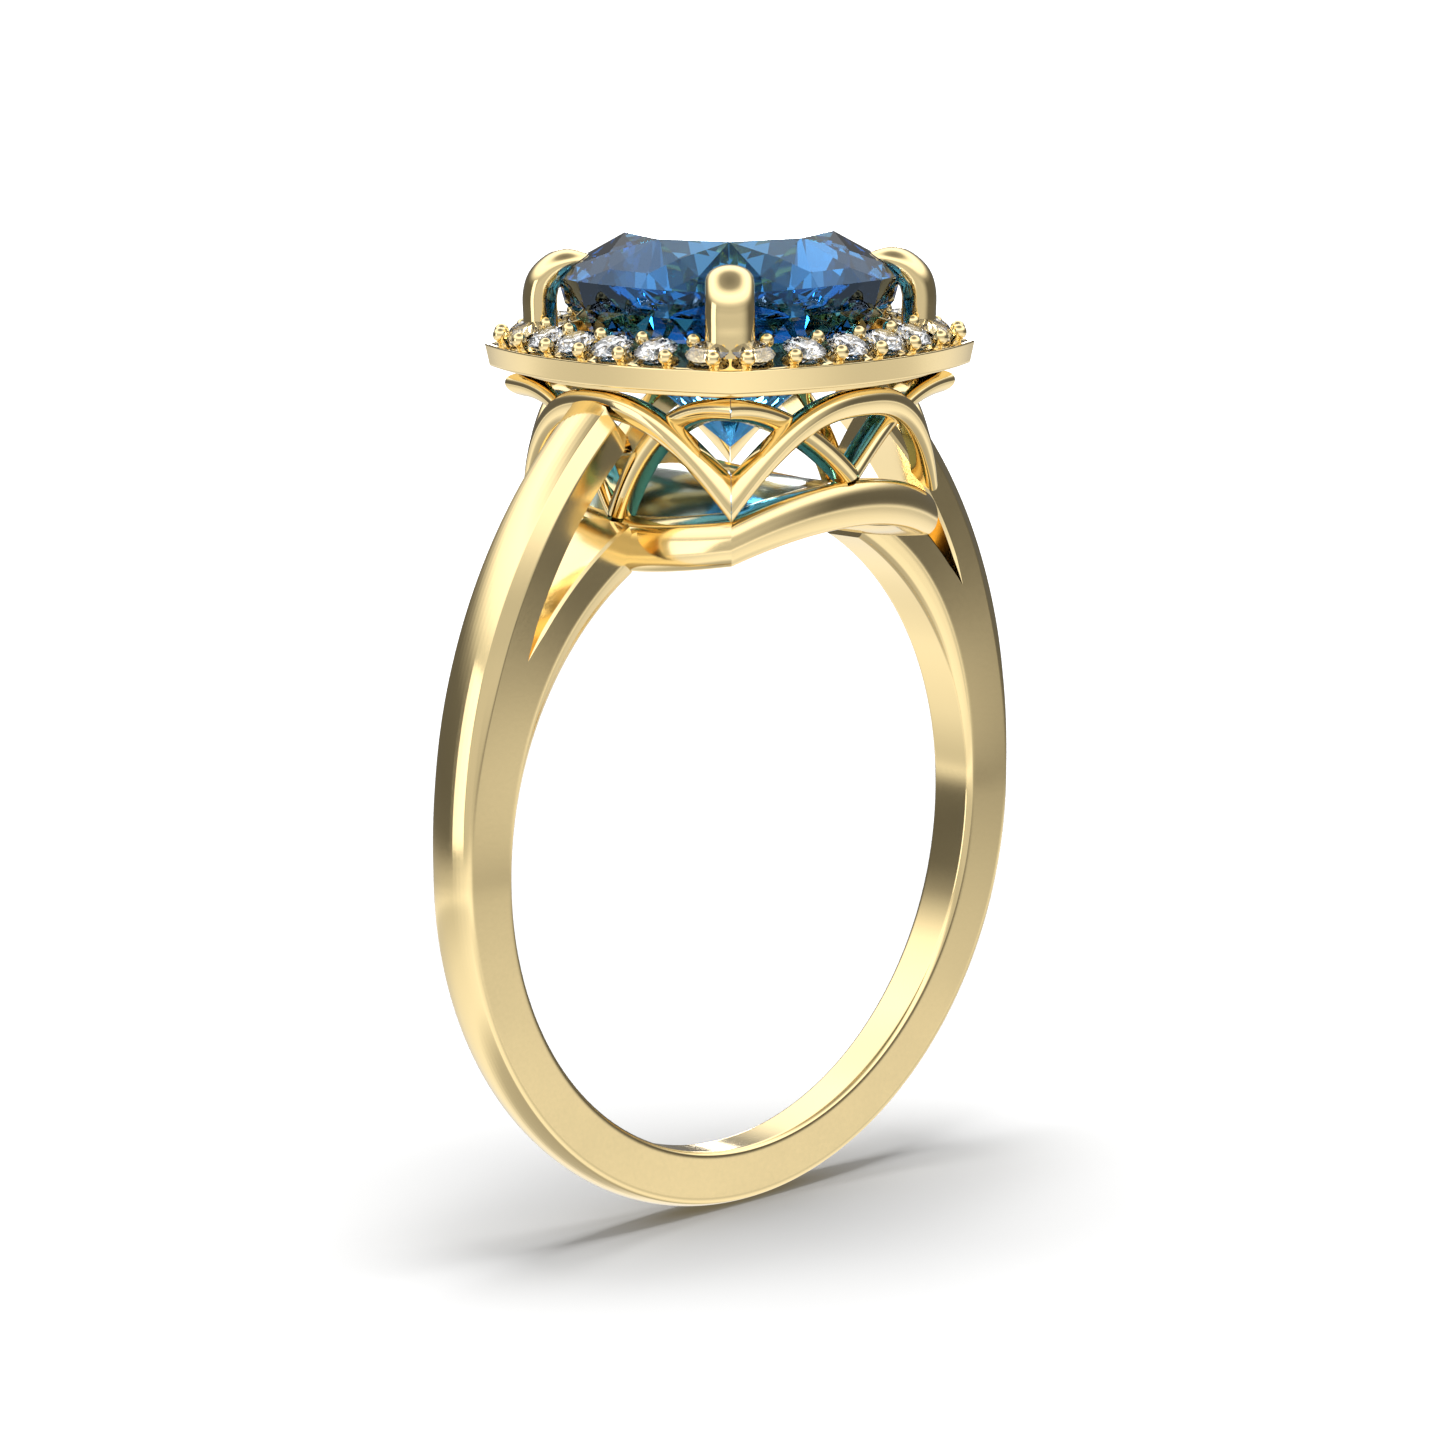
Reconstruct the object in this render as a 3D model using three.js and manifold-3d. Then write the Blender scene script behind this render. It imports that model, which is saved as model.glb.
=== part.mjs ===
// Halo engagement ring: split-shoulder band, gallery of two sets of arches on a rail and plate,
// pave halo with 24 small round stones, and one cushion-cut centre stone in four claw prongs.
// Millimetres, +Z up. The finger hole runs along Y. The origin is under the band, on its centre line.
import * as THREE from 'three';
import { mergeVertices } from 'three/addons/utils/BufferGeometryUtils.js';
import { ParametricGeometry } from 'three/addons/geometries/ParametricGeometry.js';
import { ConvexGeometry } from 'three/addons/geometries/ConvexGeometry.js';
import Module from 'manifold-3d';

const wasm = await Module();
wasm.setup();

// ---------------------------------------------------------------- driving dimensions
// Gaps left for solder between metal pieces, and between a stone and its metal.
const SOLDER_GAP = 0.03;
const STONE_GAP = 0.03;

// Band. Thickness is radial, width is along Y.
const FINGER_R = 8.66;
const BAND_T_BOTTOM = 1.46;
const BAND_T_SIDE = 1.61;
const BAND_W_BOTTOM = 1.24;
const BAND_W_SIDE = 1.42;
const SHOULDER_W = 1.76;
const BORE_FLAT_SHARE = 0.77;
const COMFORT_CURVE = 4.8;
const CROWN_H = 0.1;

// Edges of the outer face: a small round on the band, a crisp chamfer on the shoulders.
const EDGE_ROUND = 0.15;
const SHOULDER_FACE_W = 1.24;
const SHOULDER_CHAMFER_H = 0.39;
const EDGE_BLEND_START = 4;
const EDGE_BLEND_END = 32;

// Shoulders rise away from the finger circle: RISE at 60 degrees above the finger axis.
// Their upper ends stop END_RUN outside the foot of the gallery wall.
const SHOULDER_RISE = 2.32;
const SHOULDER_RISE_ANGLE = 60;
const SHOULDER_RISE_POWER = 1.6;
const SHOULDER_END_RUN = 0.62;
const UPPER_ARM_T = 1.22;
const LOWER_ARM_T = 1.37;

// Heights called Z are above the top of the finger hole.
// Centre stone, cushion cut. RIDE is its girdle's top edge above the halo's lower edge.
const STONE_HALF = 4.05;
const STONE_SQUARENESS = 3;
const STONE_TABLE_R = 2.65;
const STONE_CROWN_H = 1.12;
const STONE_GIRDLE_T = 0.12;
const STONE_PAVILION_H = 4.48;
const STONE_RIDE = 2.4;

// Flared cushion wall that the gallery lies on; its foot is set in from the stone's edge.
const WALL_Z = 0.54;
const WALL_SETBACK = 0.18;
const WALL_FLARE = 0.16;
const WALL_BULGE = 0.78;

// Base rail of the head, round the foot of the wall: it arches over the finger.
const RAIL_MID_Z = 0.61;
const RAIL_SADDLE_R = 9.7;
const RAIL_H = 1.22;
const RAIL_DEPTH = 0.75;

// Base plate: a thin saddle soldered inside the rail. RISE is its middle above the rail's.
const BASE_PLATE_T = 0.5;
const BASE_PLATE_RISE = 0.1;

// Side arches: feet on the corners of the rail, crowns at the middle of each side.
const SIDE_ARCH_FOOT_Z = 0.6;
const SIDE_ARCH_TOP_Z = 3.32;
const SIDE_ARCH_FULLNESS = 2.5;
const SIDE_WIRE_W_TOP = 0.76;
const SIDE_WIRE_W_FOOT = 0.4;
const WIRE_DEPTH = 0.56;

// Corner arches: feet meet at the middle of each side, crowns at the corners. They are set back,
// and dip further in where they pass behind the side arches. The feet over the shank stand steeper.
// Their crowns stand RAISE above those of the side arches; the feet over the shank stand FOOT_LIFT
// above its lower arms.
const CORNER_ARCH_FOOT_Z = 1.34;
const CORNER_ARCH_RAISE = 0.1;
const CORNER_ARCH_FULLNESS = 2;
const SHANK_FOOT_FULLNESS = 2.8;
const SHANK_FOOT_LIFT = 0.12;
const CORNER_WIRE_W_TOP = 0.62;
const CORNER_WIRE_W_FOOT = 0.46;
const CORNER_WIRE_DEPTH = 0.74;
const CORNER_ARCH_SETBACK = 0.12;
const CORNER_ARCH_DIP = 0.24;

// Halo plate: it overhangs the stone's edge, bulges along each side, and its lower edge stands
// STAND above the side arches' middle lines.
const HALO_OVERHANG = 0.525;
const HALO_BULGE = 1.08;
const HALO_STAND = 0.59;
const HALO_WALL_H = 0.6;
const HALO_DRAFT = 0.09;
const HALO_LIP_W = 0.1;
const HALO_W = 1.42;
const HALO_CANT = 22;
const HALO_LEDGE_INSET = 0.62;

// Small stones of the halo, the gap from each end stone to the corner's mitre, and the beads.
const MELEE_PER_SIDE = 6;
const MELEE_R = 0.575;
const MELEE_INSET = 0.66;
const MELEE_LIFT = 0.15;
const MELEE_CORNER_GAP = 0.015;
const BEAD_R = 0.19;
const BEAD_H = 0.47;
const BEAD_OUT = 0.4;

// Claw prongs, one on each corner. OUT is how far the middle line stands outside the stone, SINK
// is the foot's height in the halo plate, and OVER is the top's height above the girdle.
const PRONG_OUT = 0.424;
const PRONG_W = 1.29;
const PRONG_DEPTH = 0.92;
const PRONG_SINK = 0.38;
const PRONG_OVER = 0.71;
const PRONG_REACH = 1.45;

// ---------------------------------------------------------------- values worked out from them
const AXIS_Z = FINGER_R + BAND_T_BOTTOM + CROWN_H;
const HEAD_Z = AXIS_Z + FINGER_R;
const WALL_CORNER = STONE_HALF - WALL_SETBACK;
const HALO_CORNER = STONE_HALF + HALO_OVERHANG;
const CORNER_ARCH_TOP_Z = SIDE_ARCH_TOP_Z + CORNER_ARCH_RAISE;
const HALO_Z = SIDE_ARCH_TOP_Z + HALO_STAND;
const HALO_MID_Z = HALO_Z + HALO_WALL_H;
const HALO_LEDGE_Z = SIDE_ARCH_TOP_Z + SIDE_WIRE_W_TOP / 2 + SOLDER_GAP;
const STONE_GIRDLE_Z = HALO_Z + STONE_RIDE;
const PRONG_TOP_Z = STONE_GIRDLE_Z + PRONG_OVER;
const PRONG_FOOT_Z = HALO_Z + PRONG_SINK;
const RAIL_REACH = WALL_CORNER + WALL_BULGE;
const LOWER_ARM_TOP = Math.sqrt((FINGER_R + LOWER_ARM_T) ** 2 - RAIL_REACH ** 2) - FINGER_R;
const SHANK_FOOT_Z = LOWER_ARM_TOP + SHANK_FOOT_LIFT;
const UP = new THREE.Vector3(0, 0, 1);
const QUARTER = Math.PI / 2;
const DEG = Math.PI / 180;
const SIDES = [0, 1, 2, 3];
const MELEE_PITCH = 2 * endStoneAlong() / (MELEE_PER_SIDE - 1);

const GOLD = { color: 0xe8c986, roughness: 0.18, metalness: 1 };
const BLUE = { color: 0x12407a, roughness: 0.02, metalness: 0 };
const DIAMOND = { color: 0xf2f4f8, roughness: 0.02, metalness: 0 };

// ---------------------------------------------------------------- solids and meshes
// Joins shared vertices, drops the triangles that a pole flattens, and points the faces out.
function toSolid(geometry) {
  const plain = geometry.clone();
  plain.deleteAttribute('normal');
  plain.deleteAttribute('uv');
  const merged = mergeVertices(plain, 1e-4);
  const position = merged.getAttribute('position').array;
  const index = merged.index.array;
  const triangles = [];
  const a = new THREE.Vector3();
  const b = new THREE.Vector3();
  const c = new THREE.Vector3();
  let volume = 0;
  for (let i = 0; i < index.length; i += 3) {
    const [p, q, r] = [index[i], index[i + 1], index[i + 2]];
    if (p === q || q === r || r === p) continue;
    triangles.push(p, q, r);
    a.fromArray(position, p * 3);
    b.fromArray(position, q * 3);
    c.fromArray(position, r * 3);
    volume += a.dot(b.cross(c)) / 6;
  }
  if (volume < 0) triangles.reverse();
  return new wasm.Manifold(new wasm.Mesh({
    numProp: 3,
    vertProperties: new Float32Array(position),
    triVerts: new Uint32Array(triangles),
  }));
}

function toMesh(name, solid, look, height = HEAD_Z) {
  const { vertProperties, triVerts } = solid.getMesh();
  const geometry = new THREE.BufferGeometry();
  geometry.setAttribute('position', new THREE.BufferAttribute(vertProperties, 3));
  geometry.setIndex(new THREE.BufferAttribute(triVerts, 1));
  geometry.computeVertexNormals();
  const mesh = new THREE.Mesh(geometry, new THREE.MeshStandardMaterial(look));
  mesh.name = name;
  mesh.position.z = height;
  return mesh;
}

// A closed body through rings of points. An open run of rings gets flat ends.
function loft(rings, isLoop) {
  const count = rings[0].length;
  const flatEnd = (ring) => {
    const middle = new THREE.Vector3();
    ring.forEach((point) => middle.addScaledVector(point, 1 / count));
    return ring.map(() => middle);
  };
  const all = isLoop ? [...rings, rings[0]] : [flatEnd(rings[0]), ...rings, flatEnd(rings.at(-1))];
  const slices = all.length - 1;
  const pointAt = (u, v, target) => {
    const ring = all[Math.round(u * slices)];
    target.copy(ring[Math.round(v * count) % count]);
  };
  return toSolid(new ParametricGeometry(pointAt, slices, count));
}

const mix = (a, b, share) => a + (b - a) * share;
const smooth = (x, low, high) => THREE.MathUtils.smoothstep(x, low, high);

// ---------------------------------------------------------------- band and shoulders
// Radius of the outer ridge lines at an angle above the finger axis, in degrees.
function ridgeRadius(angle) {
  const side = FINGER_R + BAND_T_SIDE;
  if (angle <= 0) {
    return mix(FINGER_R + BAND_T_BOTTOM, side, 1 + Math.sin(angle * DEG));
  }
  return side + SHOULDER_RISE * (angle / SHOULDER_RISE_ANGLE) ** SHOULDER_RISE_POWER;
}

// The angle at which the ridge has come in to a distance from the ring's middle plane.
function ridgeAngleAt(run) {
  let angle = SHOULDER_RISE_ANGLE;
  for (let i = 0; i < 12; i += 1) angle = Math.acos(run / ridgeRadius(angle)) / DEG;
  return angle;
}

const shoulderEnd = ridgeAngleAt(RAIL_REACH + SHOULDER_END_RUN);

// One cross-section of the band as (along Y, radius) pairs, from the bore round to the crown.
function bandSection(angle) {
  const below = 1 + Math.sin(Math.min(angle, 0) * DEG);
  const bandHalf = mix(BAND_W_BOTTOM, BAND_W_SIDE, below) / 2;
  const half = mix(bandHalf, SHOULDER_W / 2, smooth(angle, 0, 50));
  const flat = bandHalf * BORE_FLAT_SHARE;
  const crisp = smooth(angle, EDGE_BLEND_START, EDGE_BLEND_END);
  const face = mix(half - EDGE_ROUND, SHOULDER_FACE_W / 2, crisp);
  const drop = mix(EDGE_ROUND, SHOULDER_CHAMFER_H, crisp);
  const belly = mix(0.7, 0.5, crisp);
  const ridge = ridgeRadius(angle);
  const comfort = (y) => FINGER_R + COMFORT_CURVE * (y - flat) ** 2;
  const middle = (flat + half) / 2;
  const right = [
    [flat, FINGER_R],
    [middle, comfort(middle)],
    [half, comfort(half)],
    [half, ridge - drop],
    [mix(face, half, belly), ridge - drop * (1 - belly)],
    [face, ridge],
    [face / 2, ridge + CROWN_H * 0.75],
  ];
  const left = right.map(([y, r]) => [-y, r]).reverse();
  return [...right, [0, ridge + CROWN_H], ...left];
}

function bandBlank() {
  const rings = [];
  const reach = 90 + shoulderEnd;
  const steps = 64;
  for (let i = 0; i <= steps; i += 1) {
    const turn = mix(-reach, reach, i / steps);
    const section = bandSection(Math.abs(turn) - 90);
    const sin = Math.sin(turn * DEG);
    const cos = Math.cos(turn * DEG);
    rings.push(section.map(([y, r]) => new THREE.Vector3(r * sin, y, -r * cos)));
  }
  return loft(rings, false);
}

// The slit between the two arms of a shoulder, cut right through along Y.
function shoulderSlit(hand) {
  const lower = FINGER_R + LOWER_ARM_T;
  const rise = (lower + UPPER_ARM_T - FINGER_R - BAND_T_SIDE) / SHOULDER_RISE;
  const start = SHOULDER_RISE_ANGLE * rise ** (1 / SHOULDER_RISE_POWER);
  const end = shoulderEnd + 6;
  const steps = 10;
  const outline = [];
  const at = (radius, angle) => {
    outline.push(new THREE.Vector2(hand * radius * Math.cos(angle * DEG), radius * Math.sin(angle * DEG)));
  };
  for (let i = 0; i <= steps; i += 1) at(lower, mix(start, end, i / steps));
  for (let i = steps; i > 0; i -= 1) {
    const angle = mix(start, end, i / steps);
    at(ridgeRadius(angle) - UPPER_ARM_T, angle);
  }
  const cut = new THREE.ExtrudeGeometry(new THREE.Shape(outline), { depth: 4, bevelEnabled: false });
  cut.translate(0, 0, -2);
  cut.rotateX(QUARTER);
  return toSolid(cut);
}

// ---------------------------------------------------------------- base rail
// A point of a pointed cushion: `share` runs -1 to 1 across one side.
function cushionPoint(side, share, corner, bulge, z) {
  const point = new THREE.Vector3(corner * share, -(corner + bulge * (1 - share ** 2)), z);
  return point.applyAxisAngle(UP, side * QUARTER);
}

function cushionShares(stepsPerSide) {
  const shares = [];
  SIDES.forEach((side) => {
    for (let i = 0; i < stepsPerSide; i += 1) shares.push([side, mix(-1, 1, i / stepsPerSide)]);
  });
  return shares;
}

const saddle = (x) => RAIL_MID_Z - RAIL_SADDLE_R + Math.sqrt(RAIL_SADDLE_R ** 2 - x ** 2);

function railSolid(grow) {
  const half = RAIL_H / 2 + grow;
  const deep = RAIL_DEPTH + grow;
  const section = [
    [deep, -half * 0.86], [0.42, -half], [0.16, -half * 0.78], [0.02, -half * 0.38], [0.02, half * 0.38],
    [0.16, half * 0.78], [0.42, half], [deep, half * 0.86],
  ];
  const rings = cushionShares(10).map(([side, share]) => section.map(([inset, rise]) => {
    const point = cushionPoint(side, share, WALL_CORNER + grow - inset, WALL_BULGE, 0);
    point.z = saddle(point.x) + rise;
    return point;
  }));
  const bore = new THREE.CylinderGeometry(FINGER_R - grow, FINGER_R - grow, 14, 96);
  bore.translate(0, 0, -FINGER_R);
  return loft(rings, true).subtract(toSolid(bore));
}

// The plate fills the rail's ring: a sheet curved over the finger, cut to a pointed cushion.
function basePlate() {
  const inset = RAIL_DEPTH + SOLDER_GAP;
  const outline = cushionShares(10).map(([side, share]) => {
    const point = cushionPoint(side, share, WALL_CORNER - inset, WALL_BULGE, 0);
    return new THREE.Vector2(point.x, point.y);
  });
  const block = new THREE.ExtrudeGeometry(new THREE.Shape(outline), { depth: 8, bevelEnabled: false });
  block.translate(0, 0, -4);
  const sheet = (offset) => {
    const radius = RAIL_SADDLE_R + BASE_PLATE_RISE + offset;
    const tube = new THREE.CylinderGeometry(radius, radius, 14, 120);
    return toSolid(tube.translate(0, 0, RAIL_MID_Z - RAIL_SADDLE_R));
  };
  return toSolid(block).intersect(sheet(BASE_PLATE_T / 2)).subtract(sheet(-BASE_PLATE_T / 2));
}

// ---------------------------------------------------------------- gallery arches
// A point on the gallery wall: `along` the side, at a height, `inset` from the outer face.
function wallPoint(side, along, z, inset) {
  const corner = WALL_CORNER + WALL_FLARE * (z - WALL_Z) - inset;
  return cushionPoint(side, along / corner, corner, WALL_BULGE, z);
}

// A D-shaped wire that follows a curve z(along) on the wall of one side, set back by setbackAt.
function wireOnWall(side, from, to, steps, heightAt, widthAt, setbackAt, depth, grow) {
  const rings = [];
  const step = 0.01;
  for (let i = 0; i <= steps; i += 1) {
    const along = mix(from, to, i / steps);
    const slope = (heightAt(along + step) - heightAt(along - step)) / (2 * step);
    const length = Math.hypot(1, slope);
    const half = widthAt(along) / 2 + grow;
    const back = depth + grow;
    const section = [
      [-1, back], [-1, 0.24], [-0.72, 0.07], [-0.25, 0], [0.25, 0], [0.72, 0.07], [1, 0.24], [1, back],
    ];
    rings.push(section.map(([across, inset]) => {
      const offset = across * half;
      return wallPoint(side, along - offset * slope / length, heightAt(along) + offset / length,
        setbackAt(along) + inset - (inset < depth ? grow : 0));
    }));
  }
  return loft(rings, false);
}

// The quarter of the head that belongs to one side, less half a solder gap at its mitres.
function sideWedge(side, gap) {
  const reach = 9;
  const apex = gap * Math.SQRT2 / 2;
  const outline = [[0, -apex], [-reach, -reach - apex], [reach, -reach - apex]];
  const shape = new THREE.Shape(outline.map(([x, y]) => new THREE.Vector2(x, y)));
  const wedge = new THREE.ExtrudeGeometry(shape, { depth: 20, bevelEnabled: false });
  wedge.translate(0, 0, -10);
  wedge.rotateZ(side * QUARTER);
  return toSolid(wedge);
}

function sideArch(side, grow) {
  const foot = WALL_CORNER + WALL_FLARE * (SIDE_ARCH_FOOT_Z - WALL_Z);
  const share = (along) => Math.abs(along) / foot;
  const heightAt = (along) => mix(SIDE_ARCH_TOP_Z, SIDE_ARCH_FOOT_Z, share(along) ** SIDE_ARCH_FULLNESS);
  const widthAt = (along) => mix(SIDE_WIRE_W_TOP, SIDE_WIRE_W_FOOT, Math.min(share(along), 1) ** 2);
  const reach = foot + 0.6;
  const wire = wireOnWall(side, -reach, reach, 24, heightAt, widthAt, () => 0, WIRE_DEPTH, grow);
  return wire.intersect(sideWedge(side, SOLDER_GAP - 2 * grow));
}

// Half of a corner arch: it climbs from the middle of one side to a corner.
function cornerArchHalf(side, hand, grow) {
  const peak = WALL_CORNER + WALL_FLARE * (CORNER_ARCH_TOP_Z - WALL_Z) - CORNER_ARCH_SETBACK;
  const overShank = side % 2 === 1;
  const footZ = overShank ? SHANK_FOOT_Z : CORNER_ARCH_FOOT_Z;
  const fullness = overShank ? SHANK_FOOT_FULLNESS : CORNER_ARCH_FULLNESS;
  const share = (along) => Math.min(Math.abs(along) / peak, 1);
  const heightAt = (along) => mix(CORNER_ARCH_TOP_Z, footZ, (1 - share(along)) ** fullness);
  const widthAt = (along) => mix(CORNER_WIRE_W_FOOT, CORNER_WIRE_W_TOP, share(along));
  const setbackAt = (along) => CORNER_ARCH_SETBACK + CORNER_ARCH_DIP * Math.sin(Math.PI * share(along));
  const inner = hand * 0.001;
  const outer = hand * (peak + 0.5);
  const depth = CORNER_WIRE_DEPTH;
  const wire = wireOnWall(side, inner, outer, 14, heightAt, widthAt, setbackAt, depth, grow);
  return wire.intersect(sideWedge(side, 0)).intersect(halfSide(side, hand, grow));
}

// The half of one side that lies towards one hand, less half a solder gap at its foot.
function halfSide(side, hand, grow) {
  const box = new THREE.BoxGeometry(8, 9, 20);
  box.translate(hand * (4 + SOLDER_GAP / 2 - grow), -4.5, 0);
  box.rotateZ(side * QUARTER);
  return toSolid(box);
}

function cornerArch(corner, grow) {
  const next = (corner + 1) % 4;
  return cornerArchHalf(corner, 1, grow).add(cornerArchHalf(next, -1, grow));
}

// ---------------------------------------------------------------- halo
const cantRise = (inset) => (inset - HALO_LIP_W) * Math.tan(HALO_CANT * DEG);

function haloPlate() {
  const top = HALO_MID_Z;
  const section = [
    [HALO_DRAFT, HALO_Z], [0, top], [HALO_LIP_W / 2, top + 0.03], [HALO_LIP_W, top],
    [HALO_W, top + cantRise(HALO_W)], [HALO_W, HALO_Z + 0.3], [HALO_W - 0.25, HALO_LEDGE_Z],
    [HALO_LEDGE_INSET, HALO_LEDGE_Z], [HALO_LEDGE_INSET - 0.08, HALO_Z],
  ];
  const rings = cushionShares(10).map(([side, share]) => section.map(([inset, z]) => (
    cushionPoint(side, share, HALO_CORNER - inset, HALO_BULGE, z)
  )));
  return loft(rings, true);
}

// The frame that carries one small stone: on the canted top, facing out and up.
function haloFrame(side, along, inset, lift) {
  const corner = HALO_CORNER - inset;
  const share = along / corner;
  const frame = new THREE.Object3D();
  frame.rotation.order = 'ZYX';
  const origin = cushionPoint(side, share, corner, HALO_BULGE, HALO_MID_Z + cantRise(inset) + lift);
  const lean = Math.atan(2 * HALO_BULGE * share / corner);
  frame.position.copy(origin);
  frame.rotation.set(HALO_CANT * DEG, 0, side * QUARTER + lean);
  frame.updateMatrix();
  return frame;
}

// How far along a side the end stone sits, so that it just clears the corner's mitre.
function endStoneAlong() {
  const corner = HALO_CORNER - MELEE_INSET;
  let along = corner;
  for (let i = 0; i < 40; i += 1) {
    const share = along / corner;
    const lean = Math.atan(2 * HALO_BULGE * share / corner);
    const facing = Math.sin(HALO_CANT * DEG) * Math.sin(lean - QUARTER / 2);
    const reach = MELEE_R * Math.sqrt(1 - facing ** 2) + MELEE_CORNER_GAP;
    along = corner + HALO_BULGE * (1 - share ** 2) - reach * Math.SQRT2;
  }
  return along;
}

const meleeAlong = (i) => (i - (MELEE_PER_SIDE - 1) / 2) * MELEE_PITCH;
const meleeFrame = (side, i) => haloFrame(side, meleeAlong(i), MELEE_INSET, MELEE_LIFT);

// Round brilliant with its girdle at height 0: table, star points, girdle, lower points, culet.
function brilliant(radius) {
  const rings = [
    { count: 8, turn: 0, r: 0.56, z: 0.31 },
    { count: 8, turn: 0.5, r: 0.78, z: 0.19 },
    { count: 16, turn: 0, r: 1, z: 0.015 },
    { count: 8, turn: 0, r: 0.42, z: -0.56 },
  ];
  const points = [new THREE.Vector3(0, 0, -0.84 * radius)];
  rings.forEach(({ count, turn, r, z }) => {
    for (let i = 0; i < count; i += 1) {
      const angle = (i + turn) / count * 2 * Math.PI;
      points.push(new THREE.Vector3(Math.cos(angle) * r, Math.sin(angle) * r, z).multiplyScalar(radius));
    }
  });
  return new ConvexGeometry(points);
}

// The seat drilled for a small stone: a cone under it and a clear way in from above.
function meleeSeat() {
  const r = MELEE_R + STONE_GAP;
  const profile = [[0, -0.86 * r - STONE_GAP], [r, -0.02], [r, 0.7], [0, 0.7]];
  return new THREE.LatheGeometry(profile.map(([x, y]) => new THREE.Vector2(x, y)), 12).rotateX(QUARTER);
}

// A bead raised from the plate between two stones.
function bead() {
  const profile = [[0, -0.2], [BEAD_R, -0.2], [BEAD_R, BEAD_H * 0.55], [BEAD_R * 0.6, BEAD_H], [0, BEAD_H]];
  return new THREE.LatheGeometry(profile.map(([x, y]) => new THREE.Vector2(x, y)), 6).rotateX(QUARTER);
}

function beadSolids() {
  const solids = [];
  SIDES.forEach((side) => {
    for (let i = 0; i <= MELEE_PER_SIDE; i += 1) {
      const isEnd = i === 0 || i === MELEE_PER_SIDE;
      const pull = isEnd ? 0.12 * Math.sign(i - 1) : 0;
      const along = meleeAlong(i - 0.5) - pull;
      const frames = [haloFrame(side, along, MELEE_INSET - BEAD_OUT, 0)];
      if (!isEnd) frames.push(haloFrame(side, along, MELEE_INSET + BEAD_OUT, 0));
      frames.forEach((frame) => solids.push(toSolid(bead().applyMatrix4(frame.matrix))));
    }
  });
  return solids;
}

// ---------------------------------------------------------------- prongs
// A claw on the diagonal: it stands on the halo, leans out, and bends in over the stone.
function prongSolid(quadrant, grow) {
  const run = outlineRadius(QUARTER / 2, STONE_HALF) + PRONG_OUT;
  const bend = PRONG_TOP_Z - PRONG_DEPTH / 2;
  const path = new THREE.CatmullRomCurve3([
    new THREE.Vector3(run, 0, PRONG_FOOT_Z),
    new THREE.Vector3(run + 0.02, 0, mix(PRONG_FOOT_Z, bend, 0.4)),
    new THREE.Vector3(run + 0.02, 0, mix(PRONG_FOOT_Z, bend, 0.68)),
    new THREE.Vector3(run - 0.16, 0, bend - 0.28),
    new THREE.Vector3(run - PRONG_REACH * 0.45, 0, bend + 0.08),
    new THREE.Vector3(run - PRONG_REACH, 0, bend + 0.12),
  ]);
  const steps = 12;
  const rings = [];
  for (let i = 0; i <= steps; i += 1) {
    const share = i / steps;
    const middle = path.getPointAt(share);
    const tangent = path.getTangentAt(share);
    const out = new THREE.Vector3(tangent.z, 0, -tangent.x);
    const tip = Math.sqrt(Math.max(1 - smooth(share, 0.62, 1.02) ** 2, 0.02));
    const half = PRONG_W / 2 * tip + grow;
    const deep = PRONG_DEPTH / 2 * mix(1, tip, 0.8) * mix(1, 0.72, smooth(share, 0.5, 1)) + grow;
    const ring = [];
    for (let k = 0; k < 10; k += 1) {
      const angle = k / 10 * 2 * Math.PI;
      const round = (value) => Math.sign(value) * Math.abs(value) ** 0.8;
      const point = middle.clone().addScaledVector(out, deep * round(Math.cos(angle)));
      point.y += half * round(Math.sin(angle));
      ring.push(point.applyAxisAngle(UP, (quadrant + 0.5) * QUARTER));
    }
    rings.push(ring);
  }
  return loft(rings, false);
}

// ---------------------------------------------------------------- centre stone
// Cushion outline: the distance from the axis at an angle.
function outlineRadius(angle, half) {
  const n = STONE_SQUARENESS;
  const sum = Math.abs(Math.cos(angle)) ** n + Math.abs(Math.sin(angle)) ** n;
  return half / sum ** (1 / n);
}

function centreStone(grow) {
  const table = STONE_GIRDLE_Z + STONE_CROWN_H;
  const base = STONE_GIRDLE_Z - STONE_GIRDLE_T;
  const half = STONE_HALF + grow;
  const rings = [
    { count: 8, turn: 0, r: STONE_TABLE_R / STONE_HALF, z: table + grow },
    { count: 8, turn: 0.5, r: 0.79, z: table - STONE_CROWN_H * 0.35 + grow },
    { count: 16, turn: 0.5, r: 0.915, z: table - STONE_CROWN_H * 0.68 + grow },
    { count: 32, turn: 0, r: 1, z: STONE_GIRDLE_Z + grow },
    { count: 32, turn: 0, r: 0.992, z: base - grow },
    { count: 16, turn: 0, r: 0.955, z: base - STONE_PAVILION_H * 0.14 - grow },
    { count: 16, turn: 0.5, r: 0.8, z: base - STONE_PAVILION_H * 0.32 - grow },
    { count: 8, turn: 0, r: 0.5, z: base - STONE_PAVILION_H * 0.58 - grow },
  ];
  const points = [new THREE.Vector3(0, 0, base - STONE_PAVILION_H - grow)];
  rings.forEach(({ count, turn, r, z }, tier) => {
    for (let i = 0; i < count; i += 1) {
      const angle = (i + turn) / count * 2 * Math.PI;
      const round = tier === 0 ? mix(outlineRadius(angle, half), half, 0.7) : outlineRadius(angle, half);
      points.push(new THREE.Vector3(Math.cos(angle) * round * r, Math.sin(angle) * round * r, z));
    }
  });
  return toSolid(new ConvexGeometry(points));
}

// ---------------------------------------------------------------- assembly
const ring = new THREE.Group();
const join = (solids) => solids.reduce((all, solid) => all.add(solid));

const sideArchRoom = join(SIDES.map((side) => sideArch(side, SOLDER_GAP)));
const rail = railSolid(0).subtract(sideArchRoom);
const railRoom = railSolid(SOLDER_GAP);
const cornerArchRoom = join(SIDES.map((corner) => cornerArch(corner, SOLDER_GAP)));

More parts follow.
